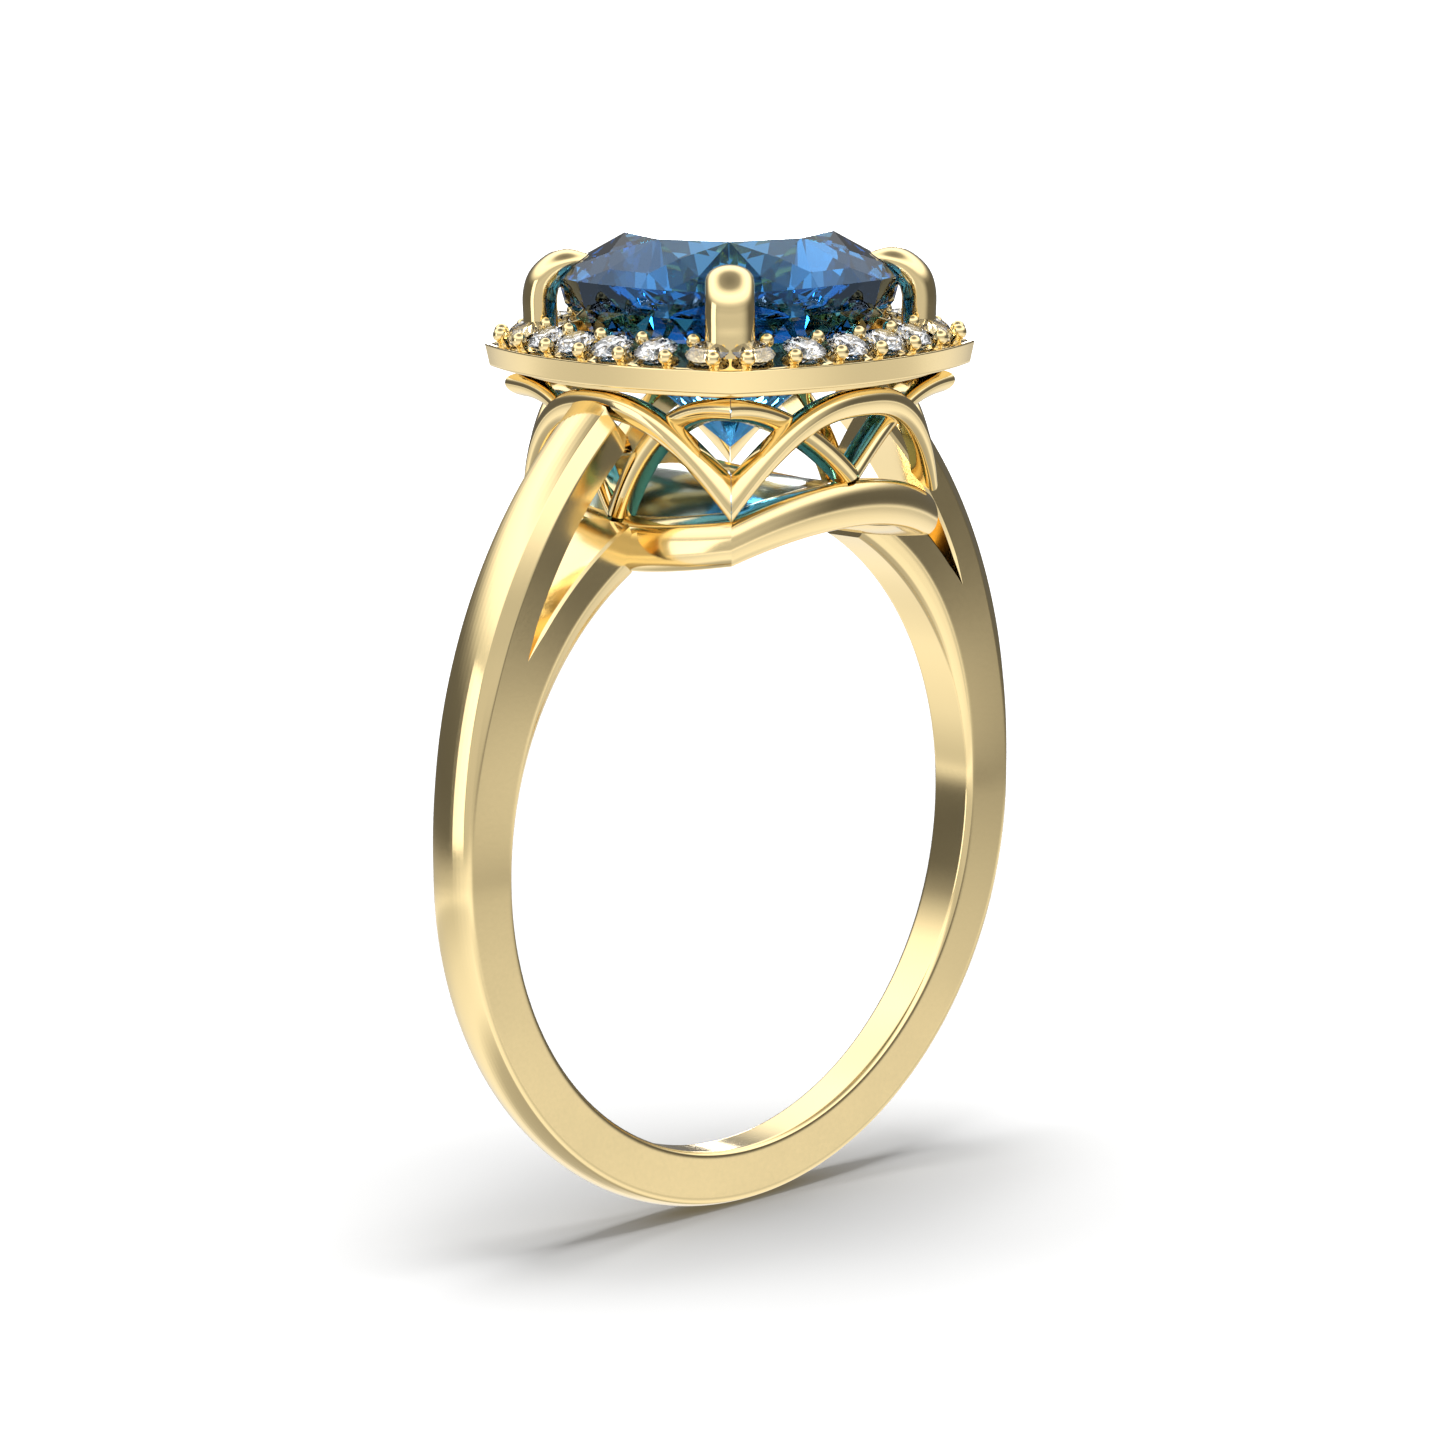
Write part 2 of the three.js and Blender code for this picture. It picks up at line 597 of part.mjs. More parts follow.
const headRoom = new THREE.BoxGeometry(2 * (RAIL_REACH - RAIL_DEPTH / 2), 4, 16);
headRoom.translate(0, 0, 4);
const underHalo = haloPlate().translate([0, 0, -SOLDER_GAP]);
const insideHead = join([toSolid(headRoom), railRoom, sideArchRoom, cornerArchRoom, underHalo]);
const shank = bandBlank()
  .subtract(shoulderSlit(1))
  .subtract(shoulderSlit(-1))
  .subtract(insideHead.translate([0, 0, FINGER_R]));
ring.add(toMesh('shank', shank, GOLD, AXIS_Z));
ring.add(toMesh('base_rail', rail, GOLD));
const plate = basePlate().subtract(sideArchRoom).subtract(cornerArchRoom);
ring.add(toMesh('base_plate', plate, GOLD));

SIDES.forEach((side) => {
  ring.add(toMesh(`side_arch_${side + 1}`, sideArch(side, 0), GOLD));
});
SIDES.forEach((corner) => {
  const arch = cornerArch(corner, 0).subtract(railRoom).subtract(sideArchRoom);
  ring.add(toMesh(`corner_arch_${corner + 1}`, arch, GOLD));
});

const seats = [];
SIDES.forEach((side) => {
  for (let i = 0; i < MELEE_PER_SIDE; i += 1) {
    seats.push(toSolid(meleeSeat().applyMatrix4(meleeFrame(side, i).matrix)));
  }
});
const seatRoom = join(seats);
const stoneRoom = centreStone(STONE_GAP);
const prongRoom = join(SIDES.map((quadrant) => prongSolid(quadrant, SOLDER_GAP)));
const halo = join([haloPlate(), ...beadSolids()]).subtract(seatRoom).subtract(stoneRoom).subtract(prongRoom);
ring.add(toMesh('halo_plate', halo, GOLD));

SIDES.forEach((quadrant) => {
  const prong = prongSolid(quadrant, 0).subtract(stoneRoom).subtract(seatRoom);
  ring.add(toMesh(`prong_${quadrant + 1}`, prong, GOLD));
});

ring.add(toMesh('centre_stone', centreStone(0), BLUE));

SIDES.forEach((side) => {
  for (let i = 0; i < MELEE_PER_SIDE; i += 1) {
    const name = `melee_${String(side * MELEE_PER_SIDE + i + 1).padStart(2, '0')}`;
    const frame = meleeFrame(side, i);
    const mesh = toMesh(name, toSolid(brilliant(MELEE_R)), DIAMOND);
    mesh.rotation.copy(frame.rotation);
    mesh.position.copy(frame.position);
    mesh.position.z += HEAD_Z;
    ring.add(mesh);
  }
});

export default ring;
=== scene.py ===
import bmesh
import bpy
import math
from mathutils import Matrix, Vector


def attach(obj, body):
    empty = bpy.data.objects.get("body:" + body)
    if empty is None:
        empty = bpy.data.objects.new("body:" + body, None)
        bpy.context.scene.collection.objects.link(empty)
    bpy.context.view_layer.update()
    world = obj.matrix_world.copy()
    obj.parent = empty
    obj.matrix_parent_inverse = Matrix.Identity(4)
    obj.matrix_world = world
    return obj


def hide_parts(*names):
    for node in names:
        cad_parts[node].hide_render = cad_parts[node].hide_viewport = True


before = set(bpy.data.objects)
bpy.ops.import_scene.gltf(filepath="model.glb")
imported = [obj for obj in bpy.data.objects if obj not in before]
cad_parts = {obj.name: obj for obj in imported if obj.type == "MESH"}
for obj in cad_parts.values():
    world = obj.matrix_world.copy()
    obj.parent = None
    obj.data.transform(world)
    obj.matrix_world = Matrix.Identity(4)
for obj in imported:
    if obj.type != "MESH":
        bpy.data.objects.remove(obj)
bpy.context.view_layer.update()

# ------------------------------------------------------------------ camera
# A long lens set a little above the ring and a quarter turn round from the finger's direction,
# so the corner of the head with its front prong faces it.
MM = 0.001
ring_axis = Vector((0, 0, 10.22))
camera_place = ring_axis + Vector((-102.585, -102.166, 30.283))
camera_turn, camera_dip, camera_roll = -44.989, 10.668, -0.382
camera_data = bpy.data.cameras.new("camera")
camera_data.sensor_width = 36
camera_data.lens = 137.68
camera = bpy.data.objects.new("camera", camera_data)
bpy.context.scene.collection.objects.link(camera)
camera.matrix_world = (
    Matrix.Translation(camera_place * MM)
    @ Matrix.Rotation(math.radians(camera_turn), 4, "Z")
    @ Matrix.Rotation(math.radians(90 - camera_dip), 4, "X")
    @ Matrix.Rotation(math.radians(camera_roll), 4, "Z")
)
camera_data.clip_start = 0.005
camera_data.clip_end = 20
bpy.context.scene.camera = camera


# ------------------------------------------------------------------ table and light
# A matt white table under a light tent. The metal mirrors the tent: bright bands above and below
# a grey middle, a soft glow on the open front side, and two pale panels behind and to the left.
reach = 3000
cloth_grey = (0.3, 0.3, 0.3, 1)
glow_from, glow_to, glow_level = 0.04, 0.16, 3.2
table_mesh = bpy.data.meshes.new("table_top")
corners = [(-reach, -reach, 0), (reach, -reach, 0), (reach, reach, 0), (-reach, reach, 0)]
table_mesh.from_pydata([Vector(c) * MM for c in corners], [], [range(4)])
table = bpy.data.objects.new("table_top", table_mesh)
bpy.context.scene.collection.objects.link(table)
table.visible_glossy = False
table.visible_transmission = False
cloth = bpy.data.materials.new("table_top")
cloth.use_nodes = True
table_mesh.materials.append(cloth)
nodes, links = cloth.node_tree.nodes, cloth.node_tree.links
shader = nodes["Principled BSDF"]
shader.inputs["Base Color"].default_value = cloth_grey
shader.inputs["Roughness"].default_value = 1
shader.inputs["Specular IOR Level"].default_value = 0
shader.inputs["Emission Color"].default_value = cloth_grey
distance = nodes.new("ShaderNodeVectorMath")
distance.operation = "LENGTH"
links.new(nodes.new("ShaderNodeTexCoord").outputs["Object"], distance.inputs[0])
fade = nodes.new("ShaderNodeMapRange")
fade.inputs["From Min"].default_value = glow_from
fade.inputs["From Max"].default_value = glow_to
fade.inputs["To Max"].default_value = glow_level
links.new(distance.outputs["Value"], fade.inputs["Value"])
links.new(fade.outputs[0], shader.inputs["Emission Strength"])


def soft_light(name, place, aim, width, height, power):
    """A soft panel in millimetres and watts, which the camera itself does not see."""
    data = bpy.data.lights.new(name, "AREA")
    data.shape = "RECTANGLE"
    data.size = width * MM
    data.size_y = height * MM
    data.energy = power
    lamp = bpy.data.objects.new(name, data)
    lamp.location = Vector(place) * MM
    lamp.rotation_euler = (Vector(aim) - Vector(place)).to_track_quat("-Z", "Y").to_euler()
    lamp.visible_camera = False
    bpy.context.scene.collection.objects.link(lamp)
    return lamp


def light_tent(levels, glow):
    """The tent's brightness by height of view, from straight down (-1) to straight up (1). The
    glow, also by height, is added on the open front side of the tent and fades out round it."""
    world = bpy.data.worlds.new("light_tent")
    world.use_nodes = True
    nodes, links = world.node_tree.nodes, world.node_tree.links
    where, split = nodes.new("ShaderNodeTexCoord"), nodes.new("ShaderNodeSeparateXYZ")
    links.new(where.outputs["Generated"], split.inputs[0])
    height = nodes.new("ShaderNodeMapRange")
    height.inputs["From Min"].default_value = -1
    links.new(split.outputs["Z"], height.inputs["Value"])
    ramps = []
    for steps in (levels, glow):
        ramp = nodes.new("ShaderNodeValToRGB")
        links.new(height.outputs[0], ramp.inputs[0])
        stops = ramp.color_ramp.elements
        for place, level in steps:
            at = (place + 1) / 2
            stop = stops[0] if place == -1 else stops[-1] if place == 1 else stops.new(at)
            stop.position = at
            stop.color = (level, level, level, 1)
        ramps.append(ramp)
    front = nodes.new("ShaderNodeVectorMath")
    front.operation = "DOT_PRODUCT"
    front.inputs[1].default_value = front_way
    links.new(where.outputs["Generated"], front.inputs[0])
    fade = nodes.new("ShaderNodeMapRange")
    fade.interpolation_type = "SMOOTHSTEP"
    fade.inputs["From Min"].default_value, fade.inputs["From Max"].default_value = front_fade
    links.new(front.outputs["Value"], fade.inputs["Value"])
    total = nodes.new("ShaderNodeMix")
    total.data_type = "RGBA"
    total.blend_type = "ADD"
    links.new(fade.outputs[0], total.inputs["Factor"])
    links.new(ramps[0].outputs["Color"], total.inputs["A"])
    links.new(ramps[1].outputs["Color"], total.inputs["B"])
    links.new(total.outputs["Result"], nodes["Background"].inputs["Color"])
    bpy.context.scene.world = world


front_way = (-0.707, -0.707, 0)
front_fade = (0.1, 0.85)
tent_levels = [
    (-1, 0.45), (-0.85, 0.55), (-0.7, 1.1), (-0.5, 0.95), (-0.4, 0.78), (-0.33, 0.68), (-0.292, 0.72),
    (-0.275, 1.02), (-0.255, 0.95), (-0.235, 0.75), (-0.213, 0.42), (-0.188, 0.2), (-0.16, 0.15),
    (-0.05, 0.13), (0.19, 0.14), (0.3, 0.3), (0.4, 0.8), (0.5, 1.4), (0.7, 1.7), (0.82, 1.2),
    (0.92, 0.4), (1, 0.25),
]
front_glow = [
    (-1, 0), (-0.6, 0.15), (-0.35, 0.3), (-0.2, 0.5), (0.1, 0.55), (0.25, 0.4), (0.4, 0), (1, 0),
]
light_tent(tent_levels, front_glow)
top_panel = soft_light("top_panel", (0, 0, 300), (0, 0, 0), 170, 170, 2.7)
top_panel.visible_glossy = False
soft_light("back_panel", (420, 420, 88), (0, 0, 24), 130, 46, 0.2)
soft_light("left_panel", (-558, 203, 67), (0, 0, 67), 250, 326, 0.36)
bpy.context.scene.view_settings.view_transform = "Standard"


# ------------------------------------------------------------------ band and shoulders
# One casting of 14 k yellow gold: a slim comfort-fit band that grows upwards and splits, on each
# side, into two arms. The outer face has a crisp chamfer on the shoulders that fades lower down.
finger_r = 8.66
band_t_bottom = 1.46
band_t_side = 1.61
band_w_bottom = 1.24
band_w_side = 1.42
shoulder_w = 1.76
shoulder_face_w = 1.24
shoulder_chamfer = 0.39
shoulder_rise = 2.32
upper_arm_t = 1.22
lower_arm_t = 1.37
crown_h = 0.1
rise_span, rise_power = 60, 1.6
widens, sharpens = (0, 50), (4, 32)
arm_end = 67.2
bore_flat_share, bore_curve = 0.77, 4.8
soft_edge = 0.15
slit_edge = 0.07
tube_steps, arm_steps = 168, 40


def mix(a, b, share):
    return a + (b - a) * share


def ease(x, low, high):
    t = min(max((x - low) / (high - low), 0), 1)
    return t * t * (3 - 2 * t)


def softened(points, radii, steps=4):
    """An open line with each inner corner rounded to its own radius, held by a point on each side."""
    most, hold = 0.3, 1.45
    line = [points[0]]
    for before, corner, after, radius in zip(points, points[1:], points[2:], radii):
        corner, before, after = Vector(corner), Vector(before), Vector(after)
        back, on = before - corner, after - corner
        shares = [min(radius / max(way.length, 1e-9), most) for way in (back, on)]
        start, end = corner + back * shares[0], corner + on * shares[1]
        line.append(tuple(corner + back * shares[0] * hold))
        for i in range(steps + 1):
            t = i / steps
            line.append(tuple(start * (1 - t) ** 2 + corner * 2 * t * (1 - t) + end * t * t))
        line.append(tuple(corner + on * shares[1] * hold))
    line.append(points[-1])
    return line


def add_skin(bm, rings, loop=False, caps=(False, False)):
    """Quads between neighbouring closed rings of points given in millimetres."""
    rows = [[bm.verts.new(Vector(p) * MM) for p in ring] for ring in rings]
    count = len(rows[0])
    pairs = list(zip(rows, rows[1:])) + ([(rows[-1], rows[0])] if loop else [])
    for low, high in pairs:
        for k in range(count):
            n = (k + 1) % count
            bm.faces.new((low[k], low[n], high[n], high[k]))
    for row, wanted in zip((rows[0], rows[-1]), caps):
        if wanted:
            middle = bm.verts.new(sum((v.co for v in row), Vector()) / count)
            for k in range(count):
                bm.faces.new((row[k], row[(k + 1) % count], middle))


def finished_mesh(name, bm, crease=32):
    """Welds the seams, points the faces out, and keeps every edge sharper than `crease` crisp."""
    bmesh.ops.remove_doubles(bm, verts=bm.verts, dist=2e-8)
    bmesh.ops.dissolve_degenerate(bm, edges=bm.edges, dist=1e-8)
    bmesh.ops.recalc_face_normals(bm, faces=bm.faces)
    for face in bm.faces:
        face.smooth = True
    for edge in bm.edges:
        edge.smooth = edge.calc_face_angle(0) < math.radians(crease)
    mesh = bpy.data.meshes.new(name)
    bm.to_mesh(mesh)
    bm.free()
    piece = bpy.data.objects.new(name, mesh)
    bpy.context.scene.collection.objects.link(piece)
    return piece


def set_in_place(piece, metal, nodes):
    """The finished piece gets its material and stands for its frame nodes."""
    if metal is not None:
        piece.data.materials.clear()
        piece.data.materials.append(metal)
    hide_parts(*nodes)
    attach(piece, "root")


def ridge_radius(angle):
    side = finger_r + band_t_side
    if angle <= 0:
        return mix(finger_r + band_t_bottom, side, 1 + math.sin(math.radians(angle)))
    return side + shoulder_rise * (angle / rise_span) ** rise_power


arms_growth = lower_arm_t + upper_arm_t - band_t_side
split_angle = rise_span * (arms_growth / shoulder_rise) ** (1 / rise_power)


def band_lines(angle):
    """Outer and inner lines of the section, as (along the finger, radius), and the slit's faces."""
    below = 1 + math.sin(math.radians(min(angle, 0)))
    band_half = mix(band_w_bottom, band_w_side, below) / 2
    half = mix(band_half, shoulder_w / 2, ease(angle, *widens))
    flat = band_half * bore_flat_share
    crisp = ease(angle, *sharpens)
    face = mix(half - soft_edge, shoulder_face_w / 2, crisp)
    drop = mix(soft_edge, shoulder_chamfer, crisp)
    belly = mix(0.7, 0.5, crisp)
    ridge = ridge_radius(angle)
    bore = lambda y: finger_r + bore_curve * (y - flat) ** 2
    low_face = finger_r + lower_arm_t
    high_face = max(ridge - upper_arm_t, low_face)
    if angle < split_angle:
        low_face = high_face = min(low_face, mix(bore(half), ridge - drop, 0.75))
    edge = min(slit_edge, (high_face - low_face) * 0.3)
    crown = [(face * (1 - i / 5), ridge + crown_h * (1 - (1 - i / 5) ** 2)) for i in range(1, 10)]
    belly_point = (mix(face, half, belly), ridge - drop * (1 - belly))
    mirrored = lambda points: [(-y, r) for y, r in reversed(points)]
    right = [(half, high_face + edge), (half, ridge - drop), belly_point, (face, ridge)]
    rounds = [mix(0.06, 0.03, crisp), mix(0.09, 0.01, crisp), mix(0.07, 0.02, crisp)]
    outer = softened(right + crown + mirrored(right), rounds + [0.02] * 9 + rounds[::-1], 3)
    left = [(-half, low_face - edge), (-half, bore(half))]
    left += [(-y, bore(y)) for y in (mix(half, flat, i / 4) for i in range(1, 4))] + [(-flat, finger_r)]
    inner = softened(left + [(0, finger_r)] + mirrored(left), [0.09] + [0.03] * 9 + [0.09], 3)
    across = [mix(-half + edge, half - edge, i / 6) for i in range(7)]
    return outer, inner, [(y, high_face) for y in across], [(y, low_face) for y in reversed(across)]


def arm_point(hand, y, radius, angle, stop):
    """A point of an arm, which ends on an upright plane inside the head."""
    a = math.radians(min(angle, math.degrees(math.acos(min(stop / radius, 1)))))
    return ring_axis + Vector((hand * radius * math.cos(a), y, radius * math.sin(a)))


shank_bm = bmesh.new()
tube = []
for i in range(tube_steps + 1):
    sweep = mix(-90 - split_angle, 90 + split_angle, i / tube_steps)
    outer, inner, _, _ = band_lines(abs(sweep) - 90)
    spin = Matrix.Rotation(math.radians(90 - sweep), 3, "Y")
    tube.append([ring_axis + spin @ Vector((r, y, 0)) for y, r in outer + inner[1:-1]])
add_skin(shank_bm, tube)
upper_stop = lambda r: mix(4.6, 5.16, ease(r, 11.4, 13))
lower_stop = lambda r: mix(4.32, 4.6, ease(r, 9.2, 9.7))
for hand in (1, -1):
    upper, lower = [], []
    for i in range(arm_steps + 1):
        angle = mix(split_angle, arm_end, i / arm_steps)
        outer, inner, base, top = band_lines(angle)
        upper.append([arm_point(hand, y, r, angle, upper_stop(r)) for y, r in outer + base])
        lower.append([arm_point(hand, y, r, angle, lower_stop(r)) for y, r in inner + top])
    add_skin(shank_bm, upper, caps=(False, True))
    add_skin(shank_bm, lower, caps=(False, True))
shank = finished_mesh("band_and_shoulders", shank_bm)


def polish_marks():
    """Shader group: fine polishing haze and softer handling patches, for polished metal."""
    group = bpy.data.node_groups.new("polish_marks", "ShaderNodeTree")
    for name, value in (("Grain per mm", 9.0), ("Patch per mm", 0.35), ("Low", 0.1), ("High", 0.2)):
        socket = group.interface.new_socket(name, in_out="INPUT", socket_type="NodeSocketFloat")
        socket.default_value = value
    for name in ("Roughness", "Height", "Patch"):
        group.interface.new_socket(name, in_out="OUTPUT", socket_type="NodeSocketFloat")
    grain_share = 0.35
    nodes, links = group.nodes, group.links
    given, out = nodes.new("NodeGroupInput"), nodes.new("NodeGroupOutput")
    where = nodes.new("ShaderNodeTexCoord")
    scale = nodes.new("ShaderNodeVectorMath")
    scale.operation = "SCALE"
    scale.inputs["Scale"].default_value = 1 / MM
    links.new(where.outputs["Object"], scale.inputs[0])
    grain, patch = nodes.new("ShaderNodeTexNoise"), nodes.new("ShaderNodeTexNoise")
    for noise, name, detail in ((grain, "Grain per mm", 3), (patch, "Patch per mm", 2)):
        links.new(scale.outputs[0], noise.inputs["Vector"])
        links.new(given.outputs[name], noise.inputs["Scale"])
        noise.inputs["Detail"].default_value = detail
    blend = nodes.new("ShaderNodeMath")
    blend.operation = "MULTIPLY_ADD"
    links.new(grain.outputs["Fac"], blend.inputs[0])
    blend.inputs[1].default_value = grain_share
    lift = nodes.new("ShaderNodeMath")
    lift.operation = "MULTIPLY"
    lift.inputs[1].default_value = 1 - grain_share
    links.new(patch.outputs["Fac"], lift.inputs[0])
    links.new(lift.outputs[0], blend.inputs[2])
    rough = nodes.new("ShaderNodeMapRange")
    rough.inputs["From Min"].default_value = 0.3
    rough.inputs["From Max"].default_value = 0.7
    links.new(blend.outputs[0], rough.inputs["Value"])
    links.new(given.outputs["Low"], rough.inputs["To Min"])
    links.new(given.outputs["High"], rough.inputs["To Max"])
    links.new(rough.outputs[0], out.inputs["Roughness"])
    links.new(grain.outputs["Fac"], out.inputs["Height"])
    links.new(patch.outputs["Fac"], out.inputs["Patch"])
    return group


marks = polish_marks()


def polished_gold(name, grain, low, high, depth, tones=((0.945, 0.745, 0.385), (0.955, 0.765, 0.405))):
    """Polished metal: its tone shifts a little in soft patches, under a fine polish haze."""
    metal = bpy.data.materials.new(name)
    metal.use_nodes = True
    nodes, links = metal.node_tree.nodes, metal.node_tree.links
    shader = nodes["Principled BSDF"]
    shader.inputs["Metallic"].default_value = 1
    worn = nodes.new("ShaderNodeGroup")
    worn.node_tree = marks
    worn.inputs["Grain per mm"].default_value = grain
    worn.inputs["Low"].default_value = low
    worn.inputs["High"].default_value = high
    tone = nodes.new("ShaderNodeMix")
    tone.data_type = "RGBA"
    tone.inputs["A"].default_value = (*tones[0], 1)
    tone.inputs["B"].default_value = (*tones[1], 1)
    links.new(worn.outputs["Patch"], tone.inputs["Factor"])
    links.new(tone.outputs["Result"], shader.inputs["Base Color"])
    links.new(worn.outputs["Roughness"], shader.inputs["Roughness"])
    bump = nodes.new("ShaderNodeBump")
    bump.inputs["Strength"].default_value = 0.15
    bump.inputs["Distance"].default_value = depth * MM
    links.new(worn.outputs["Height"], bump.inputs["Height"])
    links.new(bump.outputs["Normal"], shader.inputs["Normal"])
    return metal


band_gold = polished_gold("band_gold", 9, 0.1, 0.16, 0.0012)
set_in_place(shank, band_gold, ["shank"])


# ------------------------------------------------------------------ base rail
# A half-round gold wire bent into a pointed cushion and curved down at the sides to follow the
# finger. The band's lower arms are soldered into its sides, and its four corners are mitred.
stone_half = 4.05
wall_foot = 0.54
wall_setback = 0.18
wall_flare = 0.16
wall_bulge = 0.78
rail_mid = 0.61
rail_saddle_r = 9.7
rail_h = 1.22
rail_depth = 0.75
rail_dome = 0.32
rail_lean = -0.02
rail_steps = 28
head_base = ring_axis + Vector((0, 0, finger_r))
wall_corner = stone_half - wall_setback


def cushion_point(side, share, corner, bulge, z):
    """A point of a pointed cushion; share runs from -1 to 1 across one side."""
    point = Vector((corner * share, -(corner + bulge * (1 - share**2)), z))
    return Matrix.Rotation(side * math.pi / 2, 3, "Z") @ point


def half_round(points, height, depth, dome, lean):
    """Closed section (inset, rise): a domed front that leans in, straight flanks and a flat back."""
    line = []
    for i in range(points + 1):
        a = mix(-math.pi / 2, math.pi / 2, i / points)
        line.append((dome * (1 - math.cos(a)) + lean * (1 + math.sin(a)), height / 2 * math.sin(a)))
    back = [(depth * 0.75, height / 2), (depth - 0.05, height / 2 * 0.94), (depth, height / 2 * 0.85)]
    return line + back + [(inset, -rise) for inset, rise in reversed(back)]


rail_bm = bmesh.new()
rail_rings = []
for side in range(4):
    for i in range(rail_steps):
        share = mix(-1, 1, i / rail_steps)
        ring = []
        for inset, rise in half_round(20, rail_h, rail_depth, rail_dome, rail_lean):
            point = cushion_point(side, share, wall_corner - inset, wall_bulge, 0)
            point.z = rail_mid - rail_saddle_r + math.sqrt(rail_saddle_r**2 - point.x**2) + rise
            point.z = max(point.z, math.sqrt(finger_r**2 - point.x**2) - finger_r)
            ring.append(head_base + point)
        rail_rings.append(ring)
add_skin(rail_bm, rail_rings, loop=True)
rail = finished_mesh("base_rail_wire", rail_bm, 24)
set_in_place(rail, band_gold, ["base_rail"])


# ------------------------------------------------------------------ base plate
# A thin gold saddle soldered inside the rail and curved over the finger like it. Its top is painted a
# dark olive-teal: painted shade under the stone and a painted blue-green reflection of it. Being metal,
# it also mirrors the stone above.
plate_t = 0.5
plate_rise = 0.1
plate_corner = wall_corner - rail_depth + 0.02
plate_sizes = (0.02, 0.15, 0.3, 0.45, 0.6, 0.75, 0.88, 0.96, 0.99, 1)
plate_side_steps = 24
floor_bm = bmesh.new()
floor_rings = []
for face, sizes in ((0.5, plate_sizes), (-0.5, plate_sizes[::-1])):
    radius = rail_saddle_r + plate_rise + plate_t * face
    for size in sizes:
        ring = []
        for side in range(4):
            for k in range(plate_side_steps):
                share = mix(-1, 1, k / plate_side_steps)
                point = cushion_point(side, share, plate_corner, wall_bulge, 0) * size
                point.z = rail_mid - rail_saddle_r + math.sqrt(radius**2 - point.x**2)
                ring.append(head_base + point)
        floor_rings.append(ring)
add_skin(floor_bm, floor_rings, caps=(True, True))
floor_plate = finished_mesh("base_plate_sheet", floor_bm)
# Dark olive and blue-green tones: painted shade under the stone and a painted reflection of its blue,
# not the gold's own colour.
painted_shade_reflection_tones = ((0.34, 0.36, 0.25), (0.2, 0.3, 0.27))
painted_shade_gold = polished_gold("painted_shade_gold", 9, 0.08, 0.16, 0.0012, painted_shade_reflection_tones)
set_in_place(floor_plate, painted_shade_gold, ["base_plate"])


# ------------------------------------------------------------------ gallery arches
# Two crossing rows of half-round gold wire on a flared cushion wall. Each side has one wide arch
# on the rail's corners; behind it, two half arches rise from a V at its middle to the corners.
wire_depth = 0.56
corner_wire_depth = 0.74
corner_setback = 0.12
corner_dip = 0.24
wire_dome = 0.3
mitre_share, middle_share = 0.998, 0.003


def wire_lines(height_at, width_at, setback_at, depth, low_share, high_share, span, steps):
    """Rings of a half-round wire on side 0, each line cut off where the wall's share is reached."""
    section = []
    for i in range(17):
        a = mix(-math.pi / 2, math.pi / 2, i / 16)
        section.append((math.sin(a), wire_dome * (1 - math.cos(a))))
    section += [(1, depth - 0.08), (0.93, depth), (-0.93, depth), (-1, depth - 0.08)]

    def line_point(t, across, inset):
        slope = (height_at(t + 0.01) - height_at(t - 0.01)) / 0.02
        length = math.hypot(1, slope)
        offset = across * width_at(t) / 2
        z = height_at(t) + offset / length
        along = t - offset * slope / length
        corner = wall_corner + wall_flare * (z - wall_foot) - inset - setback_at(t)
        return along / corner, corner, z

    lines = []
    for across, inset in section:
        ends = []
        for target in (low_share, high_share):
            low, high = span
            for _ in range(40):
                middle = (low + high) / 2
                if line_point(middle, across, inset)[0] < target:
                    low = middle
                else:
                    high = middle
            ends.append((low + high) / 2)
        line = []
        for i in range(steps + 1):
            share, corner, z = line_point(mix(*ends, i / steps), across, inset)
            line.append(head_base + cushion_point(0, share, corner, wall_bulge, z))
        lines.append(line)
    return [[line[i] for line in lines] for i in range(steps + 1)]


side_foot, side_top = 0.6, 3.32
side_run = wall_corner + wall_flare * (side_foot - wall_foot)
side_height = lambda t: mix(side_top, side_foot, (abs(t) / side_run) ** 2.5)
side_width = lambda t: mix(0.76, 0.4, min(abs(t) / side_run, 1) ** 2)
side_span = (-side_run - 0.9, side_run + 0.9)
side_rings = wire_lines(
    side_height, side_width, lambda t: 0, wire_depth, -mitre_share, mitre_share, side_span, 56
)
side_bm = bmesh.new()
add_skin(side_bm, side_rings, caps=(True, True))
side_wire = finished_mesh("side_arch_wire", side_bm)
corner_top = 3.42


def half_arches(name, foot, fullness):
    """The two half arches of one side, from the V at its middle to its two corners."""
    peak = wall_corner + wall_flare * (corner_top - wall_foot) - corner_setback
    reach_of = lambda t: min(max(abs(t) / peak, 0), 1)
    height = lambda t: mix(corner_top, foot, (1 - reach_of(t)) ** fullness)
    width = lambda t: mix(0.46, 0.62, reach_of(t))
    setback = lambda t: corner_setback + corner_dip * math.sin(math.pi * reach_of(t))
    bm = bmesh.new()
    right = (middle_share, mitre_share, (0.02, peak + 0.6))
    left = (-mitre_share, -middle_share, (-peak - 0.6, -0.02))
    for low, high, span in (right, left):
        rings = wire_lines(height, width, setback, corner_wire_depth, low, high, span, 40)
        add_skin(bm, rings, caps=(True, True))
    return finished_mesh(name, bm)


open_side = half_arches("half_arches_over_finger", foot=1.34, fullness=2)
band_side = half_arches("half_arches_over_band", foot=0.347, fullness=2.8)


